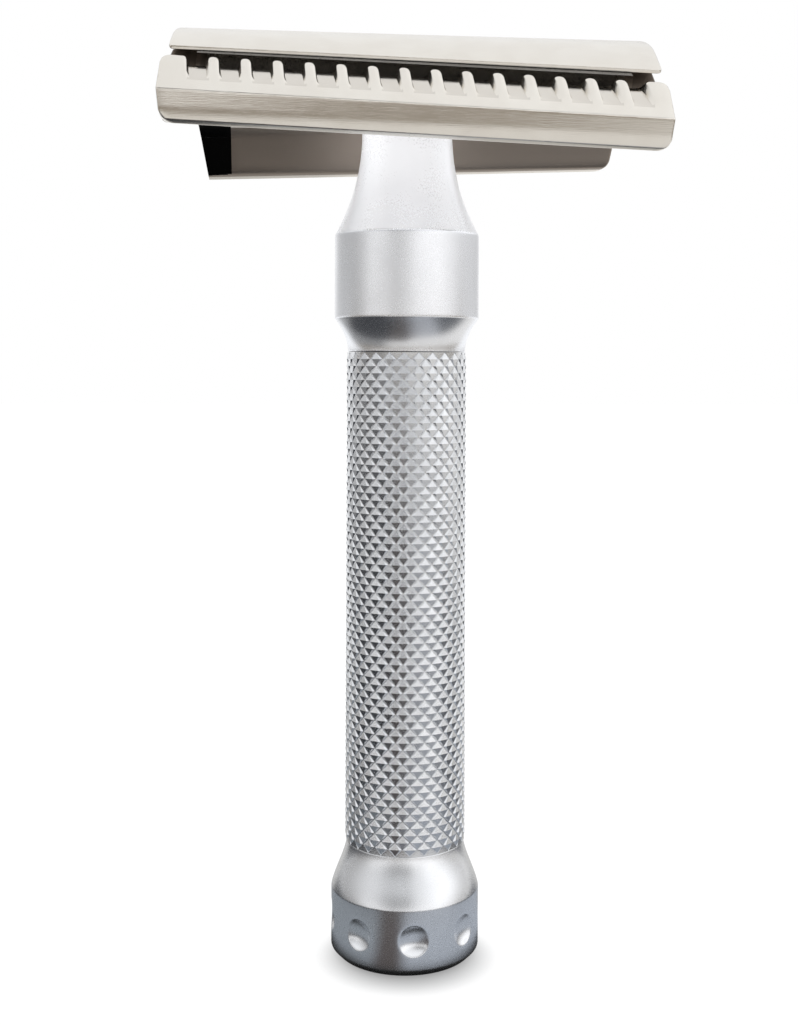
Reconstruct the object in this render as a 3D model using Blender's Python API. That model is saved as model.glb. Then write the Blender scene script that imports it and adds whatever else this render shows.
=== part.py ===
"""Slant double-edge safety razor of the three-piece kind, standing on the end knob of its handle.

The razor stands along +Z with its foot at z = 0. The head runs along X and the side seen from the
front faces -Y. Cap, blade and comb plate are bent across Y and twisted along X, as a slant head is.
The head's pieces are drawn from the plane where the comb plate seats on the neck, and are carried by
empties at that height on the handle's axis.
"""
import math

import bmesh
import bpy
from mathutils import Vector

MM = 0.001

# Handle, from the floor up
KNOB_RADIUS = 6.85 * MM
KNOB_FOOT_CHAMFER = 0.6 * MM
KNOB_RIM_HEIGHT = 5.45 * MM
KNOB_HEIGHT = 10.0 * MM
KNOB_NECK_RADIUS = 5.47 * MM
KNOB_NECK_HEIGHT = 9.6 * MM
DIMPLE_COUNT = 8
DIMPLE_HEIGHT = 3.05 * MM
DIMPLE_RADIUS = 1.38 * MM
DIMPLE_BALL_RADIUS = 1.7 * MM
DIMPLE_TURN = math.radians(6.5)
GRIP_RADIUS = 5.45 * MM
GRIP_BORE_RADIUS = 3.9 * MM
GRIP_LENGTH = 45.0 * MM
GRIP_CHAMFER = 0.3 * MM
COLLAR_RADIUS = 6.73 * MM
COLLAR_FLARE_HEIGHT = 3.1 * MM
COLLAR_FLARE_POWER = 1.9
COLLAR_TOP = 66.5 * MM
NECK_RADIUS = 4.2 * MM
TRUMPET_TOP = 76.5 * MM
TRUMPET_POWER = 2.2
SEAT_HEIGHT = 79.0 * MM

# Pieces inside the handle
JOINT_GAP = 0.3 * MM
FIT_GAP = 0.15 * MM
SPIGOT_LENGTH = 3.0 * MM
ROD_RADIUS = 2.5 * MM
ROD_FOOT = 4.5 * MM
ROD_TOP = 63.7 * MM
INSERT_RADIUS = 3.3 * MM
INSERT_BORE_RADIUS = 2.65 * MM
INSERT_FOOT = 67.0 * MM
SEAL_SECTION_RADIUS = 0.25 * MM
SEAL_RING_RADIUS = 3.575 * MM
SEAL_GROOVE_RADIUS = 3.25 * MM
SEAL_GROOVE_WIDTH = 0.7 * MM

# Head: heights are above the seat
TWIST_RATE = 0.0031 / MM
BLADE_LENGTH = 42.8 * MM
BLADE_WIDTH = 22.0 * MM
BLADE_THICKNESS = 0.1 * MM
BLADE_BEND_RADIUS = 24.0 * MM
BLADE_CROWN = 3.78 * MM
BLADE_BEVEL = 0.6 * MM
BLADE_EDGE_LENGTH = 37.6 * MM
BLADE_TAB_WIDTH = 13.2 * MM
BLADE_SLOT_WIDTH = 2.0 * MM
BLADE_CENTRE_HOLE_RADIUS = 3.3 * MM
BLADE_END_HOLE_RADIUS = 2.4 * MM
BLADE_GAP = 0.1 * MM
CAP_LENGTH = 42.4 * MM
CAP_CROWN_LENGTH = 41.2 * MM
CAP_RADIUS = 14.75 * MM
CAP_TOP = 6.0 * MM
CAP_RIM = 9.8 * MM
PLATE_LENGTH = 44.0 * MM
PLATE_BED_WIDTH = 16.4 * MM
CREASE_OFFSET = 13.2 * MM
CREASE_HEIGHT = -2.5 * MM
END_SLOPE_ABOVE = -0.08
END_SLOPE_BELOW = 0.25
BAR_CUT_START = 17.4 * MM
BAR_CUT_END = 22.2 * MM
SLOT_COUNT = 15
SLOT_PITCH = 2.68 * MM
SLOT_MOUTH_WIDTH = 1.8 * MM
SLOT_FLOOR_WIDTH = 1.45 * MM
SLOT_LEAN = 0.25
SLOT_PIVOT = 11.0 * MM
SLOT_FOOT = (12.7 * MM, -1.5 * MM)
SLOT_SLOPE = math.radians(30)
BOSS_RADIUS = 5.2 * MM
BOSS_TOP = 1.5 * MM
STUD_RADIUS = 2.45 * MM
STUD_CORE_RADIUS = 2.05 * MM
STUD_PITCH = 0.8 * MM
STUD_TURNS = 13
STUD_FOOT = -11.5 * MM
STUD_TOP = 4.9 * MM
STUD_HOLE_RADIUS = 2.75 * MM
PIN_RADIUS = 1.2 * MM
PIN_OFFSET = 15.0 * MM
PIN_FOOT = 0.9 * MM
PIN_TOP = 4.8 * MM
PIN_HOLE_RADIUS = 1.5 * MM

# Finishes: colour, roughness and metallic value
SATIN_ALUMINIUM = ((0.78, 0.79, 0.82), 0.38, 1.0)
WARM_STEEL = ((0.80, 0.77, 0.72), 0.30, 1.0)
BLADE_STEEL = ((0.62, 0.62, 0.62), 0.22, 1.0)
FASTENER_STEEL = ((0.70, 0.70, 0.70), 0.30, 1.0)
SEAL_RUBBER = ((0.03, 0.03, 0.03), 0.60, 0.0)

# Fineness of the meshes
TURN_SEGMENTS = 32
HEAD_STATIONS = 13
SMOOTH_ANGLE = math.radians(32)
MERGE_DISTANCE = 1e-7

# Places worked out from the sizes above
GRIP_FOOT = KNOB_HEIGHT + JOINT_GAP
GRIP_TOP = GRIP_FOOT + GRIP_LENGTH
COLLAR_FOOT = GRIP_TOP + JOINT_GAP
LOWER_SEAL_HEIGHT = KNOB_HEIGHT + SPIGOT_LENGTH / 2
UPPER_SEAL_HEIGHT = COLLAR_FOOT - SPIGOT_LENGTH / 2
SPIGOT_RADIUS = GRIP_BORE_RADIUS - FIT_GAP
ROD_BORE_RADIUS = ROD_RADIUS + FIT_GAP
INSERT_SEAT_RADIUS = INSERT_RADIUS + FIT_GAP
BED_DROP = BLADE_THICKNESS / 2 + BLADE_GAP


def clear_scene():
    """Remove whatever the file held before."""
    for item in list(bpy.data.objects):
        bpy.data.objects.remove(item, do_unlink=True)


def make_material(name, finish):
    """One Principled material with a finish's colour, roughness and metallic value."""
    colour, roughness, metallic = finish
    material = bpy.data.materials.new(name)
    material.use_nodes = True
    shader = material.node_tree.nodes["Principled BSDF"]
    shader.inputs["Base Color"].default_value = (*colour, 1.0)
    shader.inputs["Roughness"].default_value = roughness
    shader.inputs["Metallic"].default_value = metallic
    return material


def group(name, height, parent=None):
    """An empty on the handle's axis that carries the pieces of one moving body."""
    empty = bpy.data.objects.new(name, None)
    empty.empty_display_size = 5 * MM
    empty.location = (0, 0, height)
    empty.parent = parent
    bpy.context.collection.objects.link(empty)
    return empty


def add_piece(name, bm, carrier, finish):
    """Close the mesh, point its faces out and link it as one named object with its own material."""
    bmesh.ops.remove_doubles(bm, verts=bm.verts[:], dist=MERGE_DISTANCE)
    bmesh.ops.recalc_face_normals(bm, faces=bm.faces[:])
    mesh = bpy.data.meshes.new(name)
    bm.to_mesh(mesh)
    bm.free()
    mesh.materials.append(make_material(f"{name}_finish", finish))
    mesh.shade_smooth()
    mesh.set_sharp_from_angle(angle=SMOOTH_ANGLE)
    piece = bpy.data.objects.new(name, mesh)
    piece.parent = carrier
    bpy.context.collection.objects.link(piece)
    return piece


def add_cutter(name, bm, carrier):
    """A guide shape that only cuts or joins, and is not a piece itself."""
    bmesh.ops.recalc_face_normals(bm, faces=bm.faces[:])
    mesh = bpy.data.meshes.new(name)
    bm.to_mesh(mesh)
    bm.free()
    cutter = bpy.data.objects.new(name, mesh)
    cutter.parent = carrier
    cutter.hide_render = True
    cutter.display_type = "WIRE"
    bpy.context.collection.objects.link(cutter)
    return cutter


def combine(piece, cutter, operation):
    """Cut the piece with a guide shape, or join the guide shape to it."""
    step = piece.modifiers.new(operation.lower(), "BOOLEAN")
    step.operation = operation
    step.solver = "EXACT"
    step.object = cutter


def twist(piece, length):
    """Twist a head piece about X by the head's rate over the piece's own length."""
    step = piece.modifiers.new("slant", "SIMPLE_DEFORM")
    step.deform_method = "TWIST"
    step.deform_axis = "X"
    step.angle = TWIST_RATE * length


def spin_outline(outline, closed):
    """Spin an outline of (radius, height) points once round the Z axis."""
    bm = bmesh.new()
    verts = [bm.verts.new((radius, 0, height)) for radius, height in outline]
    ends = zip(verts, verts[1:] + verts[:1]) if closed else zip(verts, verts[1:])
    edges = [bm.edges.new(pair) for pair in ends]
    bmesh.ops.spin(
        bm, geom=verts + edges, axis=(0, 0, 1), cent=(0, 0, 0),
        angle=math.tau, steps=TURN_SEGMENTS, use_merge=True, use_duplicate=False,
    )
    return bm


def ogee(start, end, steps):
    """Points of a smooth S from one (radius, height) point to another, upright at both ends."""
    points = []
    for step in range(steps + 1):
        along = step / steps
        eased = along * along * (3 - 2 * along)
        radius = start[0] + (end[0] - start[0]) * eased
        height = start[1] + (end[1] - start[1]) * along
        points.append((radius, height))
    return points


def hollow_flare(narrow, wide, power, steps):
    """Points of a hollow curve between two (radius, height) points that leaves the narrow one upright."""
    points = []
    for step in range(steps + 1):
        along = step / steps
        radius = narrow[0] + (wide[0] - narrow[0]) * along ** power
        height = narrow[1] + (wide[1] - narrow[1]) * along
        points.append((radius, height))
    return points


def seal_groove(middle):
    """Outline of a seal's groove on a spigot, from its lower to its upper lip."""
    low = middle - SEAL_GROOVE_WIDTH / 2
    high = middle + SEAL_GROOVE_WIDTH / 2
    return [
        (SPIGOT_RADIUS, low), (SEAL_GROOVE_RADIUS, low),
        (SEAL_GROOVE_RADIUS, high), (SPIGOT_RADIUS, high),
    ]


def make_end_knob(carrier, finish):
    """Turned foot with a spigot for the grip, a blind bore for the rod and a ring of dimples."""
    spigot_top = KNOB_HEIGHT + SPIGOT_LENGTH
    bore_foot = ROD_FOOT - JOINT_GAP
    shoulder = ogee((KNOB_RADIUS, KNOB_RIM_HEIGHT), (KNOB_NECK_RADIUS, KNOB_NECK_HEIGHT), 9)
    outline = [(0, 0), (KNOB_RADIUS - KNOB_FOOT_CHAMFER, 0), (KNOB_RADIUS, KNOB_FOOT_CHAMFER)]
    outline += shoulder
    outline += [(KNOB_NECK_RADIUS, KNOB_HEIGHT), (SPIGOT_RADIUS, KNOB_HEIGHT)]
    outline += seal_groove(LOWER_SEAL_HEIGHT)
    outline += [(SPIGOT_RADIUS, spigot_top), (ROD_BORE_RADIUS, spigot_top)]
    outline += [(ROD_BORE_RADIUS, bore_foot), (0, bore_foot)]
    knob = add_piece("end_knob", spin_outline(outline, closed=False), carrier, finish)

    balls = bmesh.new()
    ball_path = KNOB_RADIUS + math.sqrt(DIMPLE_BALL_RADIUS ** 2 - DIMPLE_RADIUS ** 2)
    for index in range(DIMPLE_COUNT):
        angle = DIMPLE_TURN - math.pi / 2 + math.tau * index / DIMPLE_COUNT
        place = Vector((math.cos(angle), math.sin(angle), 0)) * ball_path
        place.z = DIMPLE_HEIGHT
        ball = bmesh.ops.create_icosphere(balls, subdivisions=3, radius=DIMPLE_BALL_RADIUS)
        bmesh.ops.translate(balls, verts=ball["verts"], vec=place)
    combine(knob, add_cutter("dimple_balls", balls, carrier), "DIFFERENCE")


def make_grip_sleeve(carrier, finish):
    """Plain tube at the mean radius of the knurl, chamfered at both ends."""
    outline = [
        (GRIP_BORE_RADIUS, GRIP_FOOT), (GRIP_RADIUS - GRIP_CHAMFER, GRIP_FOOT),
        (GRIP_RADIUS, GRIP_FOOT + GRIP_CHAMFER), (GRIP_RADIUS, GRIP_TOP - GRIP_CHAMFER),
        (GRIP_RADIUS - GRIP_CHAMFER, GRIP_TOP), (GRIP_BORE_RADIUS, GRIP_TOP),
    ]
    add_piece("grip_sleeve", spin_outline(outline, closed=True), carrier, finish)


def make_neck_collar(carrier, finish):
    """Turned collar and trumpet neck, with bores for the insert above and the rod below."""
    insert_floor = INSERT_FOOT - JOINT_GAP
    rod_roof = ROD_TOP + JOINT_GAP
    spigot_foot = COLLAR_FOOT - SPIGOT_LENGTH
    flare_foot = COLLAR_FOOT + JOINT_GAP
    flare_rim = (COLLAR_RADIUS, flare_foot + COLLAR_FLARE_HEIGHT)
    flare = hollow_flare((GRIP_RADIUS, flare_foot), flare_rim, COLLAR_FLARE_POWER, 7)
    trumpet_foot = (COLLAR_RADIUS, COLLAR_TOP)
    outline = [(0, insert_floor), (INSERT_SEAT_RADIUS, insert_floor)]
    outline += [(INSERT_SEAT_RADIUS, SEAT_HEIGHT), (NECK_RADIUS, SEAT_HEIGHT)]
    outline += hollow_flare((NECK_RADIUS, TRUMPET_TOP), trumpet_foot, TRUMPET_POWER, 10)
    outline += flare[::-1]
    outline += [(GRIP_RADIUS, COLLAR_FOOT), (SPIGOT_RADIUS, COLLAR_FOOT)]
    outline += seal_groove(UPPER_SEAL_HEIGHT)[::-1]
    outline += [(SPIGOT_RADIUS, spigot_foot), (ROD_BORE_RADIUS, spigot_foot)]
    outline += [(ROD_BORE_RADIUS, rod_roof), (0, rod_roof)]
    add_piece("neck_collar", spin_outline(outline, closed=False), carrier, finish)


def make_thread_insert(carrier, finish):
    """Steel sleeve set into the neck, where the stud screws in."""
    top = SEAT_HEIGHT - FIT_GAP
    lead_in = INSERT_BORE_RADIUS + JOINT_GAP
    outline = [
        (INSERT_BORE_RADIUS, INSERT_FOOT), (INSERT_RADIUS, INSERT_FOOT), (INSERT_RADIUS, top),
        (lead_in, top), (INSERT_BORE_RADIUS, top - JOINT_GAP),
    ]
    add_piece("thread_insert", spin_outline(outline, closed=True), carrier, finish)


def make_tie_rod(carrier, finish):
    """Rod with chamfered ends that draws collar, sleeve and knob together."""
    chamfer = 0.4 * MM
    outline = [
        (0, ROD_FOOT), (ROD_RADIUS - chamfer, ROD_FOOT), (ROD_RADIUS, ROD_FOOT + chamfer),
        (ROD_RADIUS, ROD_TOP - chamfer), (ROD_RADIUS - chamfer, ROD_TOP), (0, ROD_TOP),
    ]
    add_piece("tie_rod", spin_outline(outline, closed=False), carrier, finish)


def make_seal_ring(name, height, carrier, finish):
    """Round-section ring in the groove of a spigot."""
    sides = 8
    outline = []
    for side in range(sides):
        angle = math.tau * (side + 0.5) / sides
        radius = SEAL_RING_RADIUS + SEAL_SECTION_RADIUS * math.cos(angle)
        outline.append((radius, height + SEAL_SECTION_RADIUS * math.sin(angle)))
    add_piece(name, spin_outline(outline, closed=True), carrier, finish)


def bend(across, crown, radius):
    """Height of an arc across the head at a distance from the head's middle."""
    return crown - radius + math.sqrt(radius * radius - across * across)


def mirrored(half):
    """Close an outline whose first and last points lie on the head's middle plane."""
    other = [(-across, height, reach) for across, height, reach in half[-2:0:-1]]
    return half + other


def join_rings(bm, rings):
    """Close a stack of rings with quads between them and one face at each end."""
    for ring, following in zip(rings, rings[1:]):
        for index in range(len(ring)):
            before = index - 1
            bm.faces.new((ring[before], ring[index], following[index], following[before]))
    return bm.faces.new(rings[0]), bm.faces.new(rings[-1])


def loft_along_head(outline):
    """Carry a closed (across, height, end reach) outline along X, each point to its own reach.

    An end face that folds at the crease is split there, so that each part of it is flat.
    """
    bm = bmesh.new()
    rings = []
    for station in range(HEAD_STATIONS):
        along = 2 * station / (HEAD_STATIONS - 1) - 1
        rings.append([bm.verts.new((reach * along, y, z)) for y, z, reach in outline])
    fold = [index for index, point in enumerate(outline) if point[1] == CREASE_HEIGHT]
    for face, ring in zip(join_rings(bm, rings), (rings[0], rings[-1])):
        for outer, inner in zip(fold[0::2], fold[1::2]):
            part, _ = bmesh.utils.face_split(face, ring[outer], ring[inner])
            face = max(part, face, key=lambda half: len(half.verts))
    return bm


def arc_points(centre, radius, start, end, steps):
    """Points of an arc in the plane, between two angles in degrees."""
    points = []
    for step in range(steps + 1):
        angle = math.radians(start + (end - start) * step / steps)
        points.append((centre[0] + radius * math.cos(angle), centre[1] + radius * math.sin(angle)))
    return points


def prism(bm, outline, low, high):
    """Add an upright prism with a flat (x, y) outline."""
    face = bm.faces.new([bm.verts.new((x, y, low)) for x, y in outline])
    raised = bmesh.ops.extrude_face_region(bm, geom=[face])
    top = [item for item in raised["geom"] if isinstance(item, bmesh.types.BMVert)]
    bmesh.ops.translate(bm, verts=top, vec=(0, 0, high - low))


def upright_bar(bm, place, radius, low, high):
    """Add an upright round bar centred on an (x, y) place."""
    prism(bm, arc_points(place, radius, 0, 360 - 360 / TURN_SEGMENTS, TURN_SEGMENTS - 1), low, high)


def end_reach(height):
    """How far the plate runs along X: longest at the crease, drawn in above and below it."""
    rise = height - CREASE_HEIGHT
    slope = END_SLOPE_ABOVE if rise > 0 else END_SLOPE_BELOW
    return PLATE_LENGTH / 2 + rise * slope


def base_plate_section():
    """Section of the comb plate: bed, trough, guard with its crease, rounded bar and underside."""
    bed_radius = BLADE_BEND_RADIUS - BED_DROP
    bed_crown = BLADE_CROWN - BED_DROP
    steps = 6
    half = []
    for step in range(steps + 1):
        across = PLATE_BED_WIDTH / 2 * step / steps
        half.append((across, bend(across, bed_crown, bed_radius)))
    trough_and_tooth = [
        (8.75, 0.2), (9.1, -0.2), (9.6, -0.3), (10.7, 0.3),
        (11.15, 0.7), (11.42, 0.8), (11.72, 0.62),
    ]
    bar = [
        (13.05, -3.4), (12.65, -4.3), (12.1, -4.95), (11.4, -5.25),
        (10.6, -5.2), (9.9, -4.8), (9.5, -4.1),
    ]
    underside = [(8.6, -1.55), (7.7, -0.6), (6.6, 0.05), (5.4, 0.4), (0, 0.45)]
    half += [(across * MM, height * MM) for across, height in trough_and_tooth]
    half += [(CREASE_OFFSET, CREASE_HEIGHT)]
    half += [(across * MM, height * MM) for across, height in bar]
    half += [(9.2 * MM, CREASE_HEIGHT)]
    half += [(across * MM, height * MM) for across, height in underside]
    return mirrored([(across, height, end_reach(height)) for across, height in half])


def add_comb_slot(bm, centre, side):
    """Add the tapered block that cuts one slot of the comb, with its floor sloping outwards.

    The block leans along the head as it goes outwards, so that the teeth stand at a slant.
    """
    inner = 9.6 * MM
    outer = 13.6 * MM
    fall = math.tan(SLOT_SLOPE)
    floor_inner = SLOT_FOOT[1] + (SLOT_FOOT[0] - inner) * fall
    floor_outer = SLOT_FOOT[1] + (SLOT_FOOT[0] - outer) * fall
    mouth = 1.5 * MM
    corners = [
        (inner, floor_inner, SLOT_FLOOR_WIDTH), (outer, floor_outer, SLOT_FLOOR_WIDTH),
        (inner, mouth, SLOT_MOUTH_WIDTH), (outer, mouth, SLOT_MOUTH_WIDTH),
    ]
    verts = []
    for across, height, width in corners:
        for edge in (-0.5, 0.5):
            x = centre - side * SLOT_LEAN * (across - SLOT_PIVOT) + edge * width
            verts.append(bm.verts.new((x, side * across, height)))
    bmesh.ops.convex_hull(bm, input=verts)


def bar_end_cuts():
    """Wedges that cut back the inner side of both bars at each end, deepest at the bottom.

    Each level is (height, across where the cut starts, across where it leaves the end).
    """
    levels = ((-6.0 * MM, 9.1 * MM, 12.7 * MM), (-1.0 * MM, 8.3 * MM, 10.0 * MM))
    middle = 5 * MM
    bm = bmesh.new()
    for x_side in (-1, 1):
        for y_side in (-1, 1):
            corners = []
            for height, near, far in levels:
                outline = [
                    (BAR_CUT_START, near), (BAR_CUT_END, far),
                    (BAR_CUT_START, middle), (BAR_CUT_END, middle),
                ]
                corners += [bm.verts.new((x_side * x, y_side * y, height)) for x, y in outline]
            bmesh.ops.convex_hull(bm, input=corners)
    return bm


def make_base_plate(carrier, finish):
    """Comb plate: bed for the blade, a slotted guard and bar on each side, and holes."""
    plate = add_piece("base_plate", loft_along_head(base_plate_section()), carrier, finish)

    slots = bmesh.new()
    for index in range(SLOT_COUNT):
        centre = (index - (SLOT_COUNT - 1) / 2) * SLOT_PITCH
        for side in (-1, 1):
            add_comb_slot(slots, centre, side)
    combine(plate, add_cutter("comb_slots", slots, carrier), "DIFFERENCE")
    combine(plate, add_cutter("bar_end_cuts", bar_end_cuts(), carrier), "DIFFERENCE")
    twist(plate, PLATE_LENGTH)

    boss = bmesh.new()
    upright_bar(boss, (0, 0), BOSS_RADIUS, JOINT_GAP, BOSS_TOP)
    combine(plate, add_cutter("seat_boss", boss, carrier), "UNION")

    holes = bmesh.new()
    below = -2 * MM
    above = 5 * MM
    upright_bar(holes, (0, 0), STUD_HOLE_RADIUS, below, above)
    for side in (-1, 1):
        upright_bar(holes, (side * PIN_OFFSET, 0), PIN_HOLE_RADIUS, below, above)
    combine(plate, add_cutter("plate_holes", holes, carrier), "DIFFERENCE")


def blade_section():
    """Section of the bent blade, ground down on both faces towards each edge."""
    half_angle = BLADE_WIDTH / 2 / BLADE_BEND_RADIUS
    bevel_angle = half_angle - BLADE_BEVEL / BLADE_BEND_RADIUS
    edge_thickness = BLADE_THICKNESS / 5
    steps = 10
    angles = [-half_angle]
    angles += [bevel_angle * (2 * step / steps - 1) for step in range(steps + 1)]
    angles += [half_angle]
    upper = []
    lower = []
    for angle in angles:
        at_edge = angle in (angles[0], angles[-1])
        thickness = edge_thickness if at_edge else BLADE_THICKNESS
        for side, chain in ((0.5, upper), (-0.5, lower)):
            radius = BLADE_BEND_RADIUS + side * thickness
            height = BLADE_CROWN - BLADE_BEND_RADIUS + radius * math.cos(angle)
            chain.append((radius * math.sin(angle), height, BLADE_LENGTH / 2))
    return upper + lower[::-1]


def blade_slot_outline():
    """Flat outline of the blade's slot: a long slit with round openings at its middle and ends."""
    half_slit = BLADE_SLOT_WIDTH / 2
    end_turn = math.degrees(math.asin(half_slit / BLADE_END_HOLE_RADIUS))
    centre_turn = math.degrees(math.asin(half_slit / BLADE_CENTRE_HOLE_RADIUS))
    upper = arc_points((PIN_OFFSET, 0), BLADE_END_HOLE_RADIUS, 0, 180 - end_turn, 8)
    upper += arc_points((0, 0), BLADE_CENTRE_HOLE_RADIUS, centre_turn, 180 - centre_turn, 8)
    upper += arc_points((-PIN_OFFSET, 0), BLADE_END_HOLE_RADIUS, end_turn, 180, 8)
    lower = [(x, -y) for x, y in upper[-2:0:-1]]
    return upper + lower


def make_blade(carrier, finish):
    """Standard double-edge blade, bent over the plate and twisted with the head."""
    blade = add_piece("blade", loft_along_head(blade_section()), carrier, finish)
    below = -1 * MM
    above = 6 * MM
    cuts = bmesh.new()
    prism(cuts, blade_slot_outline(), below, above)
    for x_side in (-1, 1):
        for y_side in (-1, 1):
            near = (x_side * BLADE_EDGE_LENGTH / 2, y_side * BLADE_TAB_WIDTH / 2)
            far = (x_side * BLADE_LENGTH, y_side * BLADE_WIDTH)
            corner = [near, (far[0], near[1]), far, (near[0], far[1])]
            prism(cuts, corner, below, above)
    combine(blade, add_cutter("blade_cuts", cuts, carrier), "DIFFERENCE")
    twist(blade, BLADE_LENGTH)


def top_cap_section():
    """Section of the cap: a round back over an underside that follows the blade."""
    under_radius = BLADE_BEND_RADIUS + BED_DROP
    under_crown = BLADE_CROWN + BED_DROP
    lip = CAP_RIM - 0.1 * MM
    steps = 10
    half = []
    for step in range(steps + 1):
        across = CAP_RIM * math.sin(math.pi / 2 * step / steps)
        reach = CAP_CROWN_LENGTH + (CAP_LENGTH - CAP_CROWN_LENGTH) * step / steps
        half.append((across, bend(across, CAP_TOP, CAP_RADIUS), reach / 2))
    for step in range(steps, -1, -1):
        across = lip * step / steps
        half.append((across, bend(across, under_crown, under_radius), CAP_LENGTH / 2))
    return mirrored(half)


def make_top_cap(carrier, finish):
    """Cap with sockets under it for the stud and the two pins."""
    cap = add_piece("top_cap", loft_along_head(top_cap_section()), carrier, finish)
    twist(cap, CAP_LENGTH)
    sockets = bmesh.new()
    below = 1 * MM
    upright_bar(sockets, (0, 0), STUD_RADIUS + FIT_GAP, below, STUD_TOP + JOINT_GAP)
    for side in (-1, 1):
        place = (side * PIN_OFFSET, 0)
        upright_bar(sockets, place, PIN_RADIUS + FIT_GAP, below, PIN_TOP + JOINT_GAP)
    combine(cap, add_cutter("cap_sockets", sockets, carrier), "DIFFERENCE")


def make_threaded_stud(carrier, finish):
    """Stud with a helical thread: the radius follows a wave that climbs one pitch each turn."""
    around = 14
    rows_per_turn = 4
    thread_rows = STUD_TURNS * rows_per_turn
    depth = STUD_RADIUS - STUD_CORE_RADIUS
    bm = bmesh.new()
    rows = []
    for row in range(thread_rows + 1):
        height = STUD_FOOT + STUD_PITCH * row / rows_per_turn
        ring = []
        for step in range(around):
            turn = step / around
            phase = (row / rows_per_turn - turn) % 1.0
            radius = STUD_CORE_RADIUS + depth * (1 - abs(2 * phase - 1))
            angle = math.tau * turn
            ring.append(bm.verts.new((radius * math.cos(angle), radius * math.sin(angle), height)))
        rows.append(ring)
    for height in (rows[-1][0].co.z + STUD_PITCH / 2, STUD_TOP):
        rows.append([
            bm.verts.new((STUD_RADIUS * math.cos(math.tau * step / around),
                          STUD_RADIUS * math.sin(math.tau * step / around), height))
            for step in range(around)
        ])
    join_rings(bm, rows)
    add_piece("threaded_stud", bm, carrier, finish)


def make_locating_pin(name, side, carrier, finish):
    """Round pin with a chamfered tip, set into the cap beside the stud."""
    bm = bmesh.new()
    tip = 0.3 * MM
    place = (side * PIN_OFFSET, 0)
    rings = ((PIN_RADIUS - tip, PIN_FOOT), (PIN_RADIUS, PIN_FOOT + tip), (PIN_RADIUS, PIN_TOP))
    rows = []
    for radius, height in rings:
        circle = arc_points(place, radius, 0, 360 - 360 / TURN_SEGMENTS, TURN_SEGMENTS - 1)
        rows.append([bm.verts.new((x, y, height)) for x, y in circle])
    join_rings(bm, rows)
    add_piece(name, bm, carrier, finish)


clear_scene()

handle = group("handle_axis", 0)
head = group("head_turn_axis", SEAT_HEIGHT, handle)
blade_carrier = group("blade_lift_axis", 0, head)
cap_carrier = group("cap_lift_axis", 0, head)

make_end_knob(handle, SATIN_ALUMINIUM)
make_grip_sleeve(handle, SATIN_ALUMINIUM)
make_neck_collar(handle, SATIN_ALUMINIUM)
make_thread_insert(handle, FASTENER_STEEL)
make_tie_rod(handle, FASTENER_STEEL)
make_seal_ring("seal_ring_lower", LOWER_SEAL_HEIGHT, handle, SEAL_RUBBER)
make_seal_ring("seal_ring_upper", UPPER_SEAL_HEIGHT, handle, SEAL_RUBBER)
make_base_plate(head, WARM_STEEL)
make_blade(blade_carrier, BLADE_STEEL)
make_top_cap(cap_carrier, WARM_STEEL)
make_threaded_stud(cap_carrier, FASTENER_STEEL)
make_locating_pin("locating_pin_left", -1, cap_carrier, FASTENER_STEEL)
make_locating_pin("locating_pin_right", 1, cap_carrier, FASTENER_STEEL)
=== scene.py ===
# %% [markdown]
# # A slant safety razor
# The CAD model fixes the place, the size and the motion of every piece of the razor. This script gives
# the pieces that are seen their fine shape, such as the knurl of the grip and the teeth of the comb, and
# gives every piece its finish. All lengths are worked out in millimetres and go into the meshes in
# metres.

import bmesh
import bpy
import numpy as np
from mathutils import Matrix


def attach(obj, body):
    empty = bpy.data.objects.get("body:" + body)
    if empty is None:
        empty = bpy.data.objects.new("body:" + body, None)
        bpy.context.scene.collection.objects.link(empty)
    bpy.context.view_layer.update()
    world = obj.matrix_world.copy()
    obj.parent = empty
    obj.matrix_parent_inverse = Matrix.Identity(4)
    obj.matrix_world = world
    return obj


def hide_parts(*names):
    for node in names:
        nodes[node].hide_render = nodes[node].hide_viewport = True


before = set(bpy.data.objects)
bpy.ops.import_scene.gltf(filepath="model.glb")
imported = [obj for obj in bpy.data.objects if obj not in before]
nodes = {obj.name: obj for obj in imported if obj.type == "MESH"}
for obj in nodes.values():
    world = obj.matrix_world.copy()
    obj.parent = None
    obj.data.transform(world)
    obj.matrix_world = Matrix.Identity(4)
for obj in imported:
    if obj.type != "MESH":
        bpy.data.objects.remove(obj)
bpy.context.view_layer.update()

# %% [markdown]
# Most shapes here are grids of points: one parameter runs along the rows and one along the columns. A
# face joins each point to its neighbours, so the corners of all the faces are four shifted copies of the
# grid's numbering. These grids all go round something, so the last column wraps back to the first.

# %% From points to a piece
MM = 0.001
MERGE = 1e-7
SHARP_OVER = 30.0


def grid_faces(rows, columns):
    """Corner numbers of a grid's faces: each point, the next in its row, and the two in the row below."""
    numbers = np.arange(rows * columns).reshape(rows, columns)
    numbers = np.hstack([numbers, numbers[:, :1]])
    corners = [numbers[:-1, :-1], numbers[:-1, 1:], numbers[1:, 1:], numbers[1:, :-1]]
    return np.stack(corners, axis=-1).reshape(-1, 4)


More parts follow.
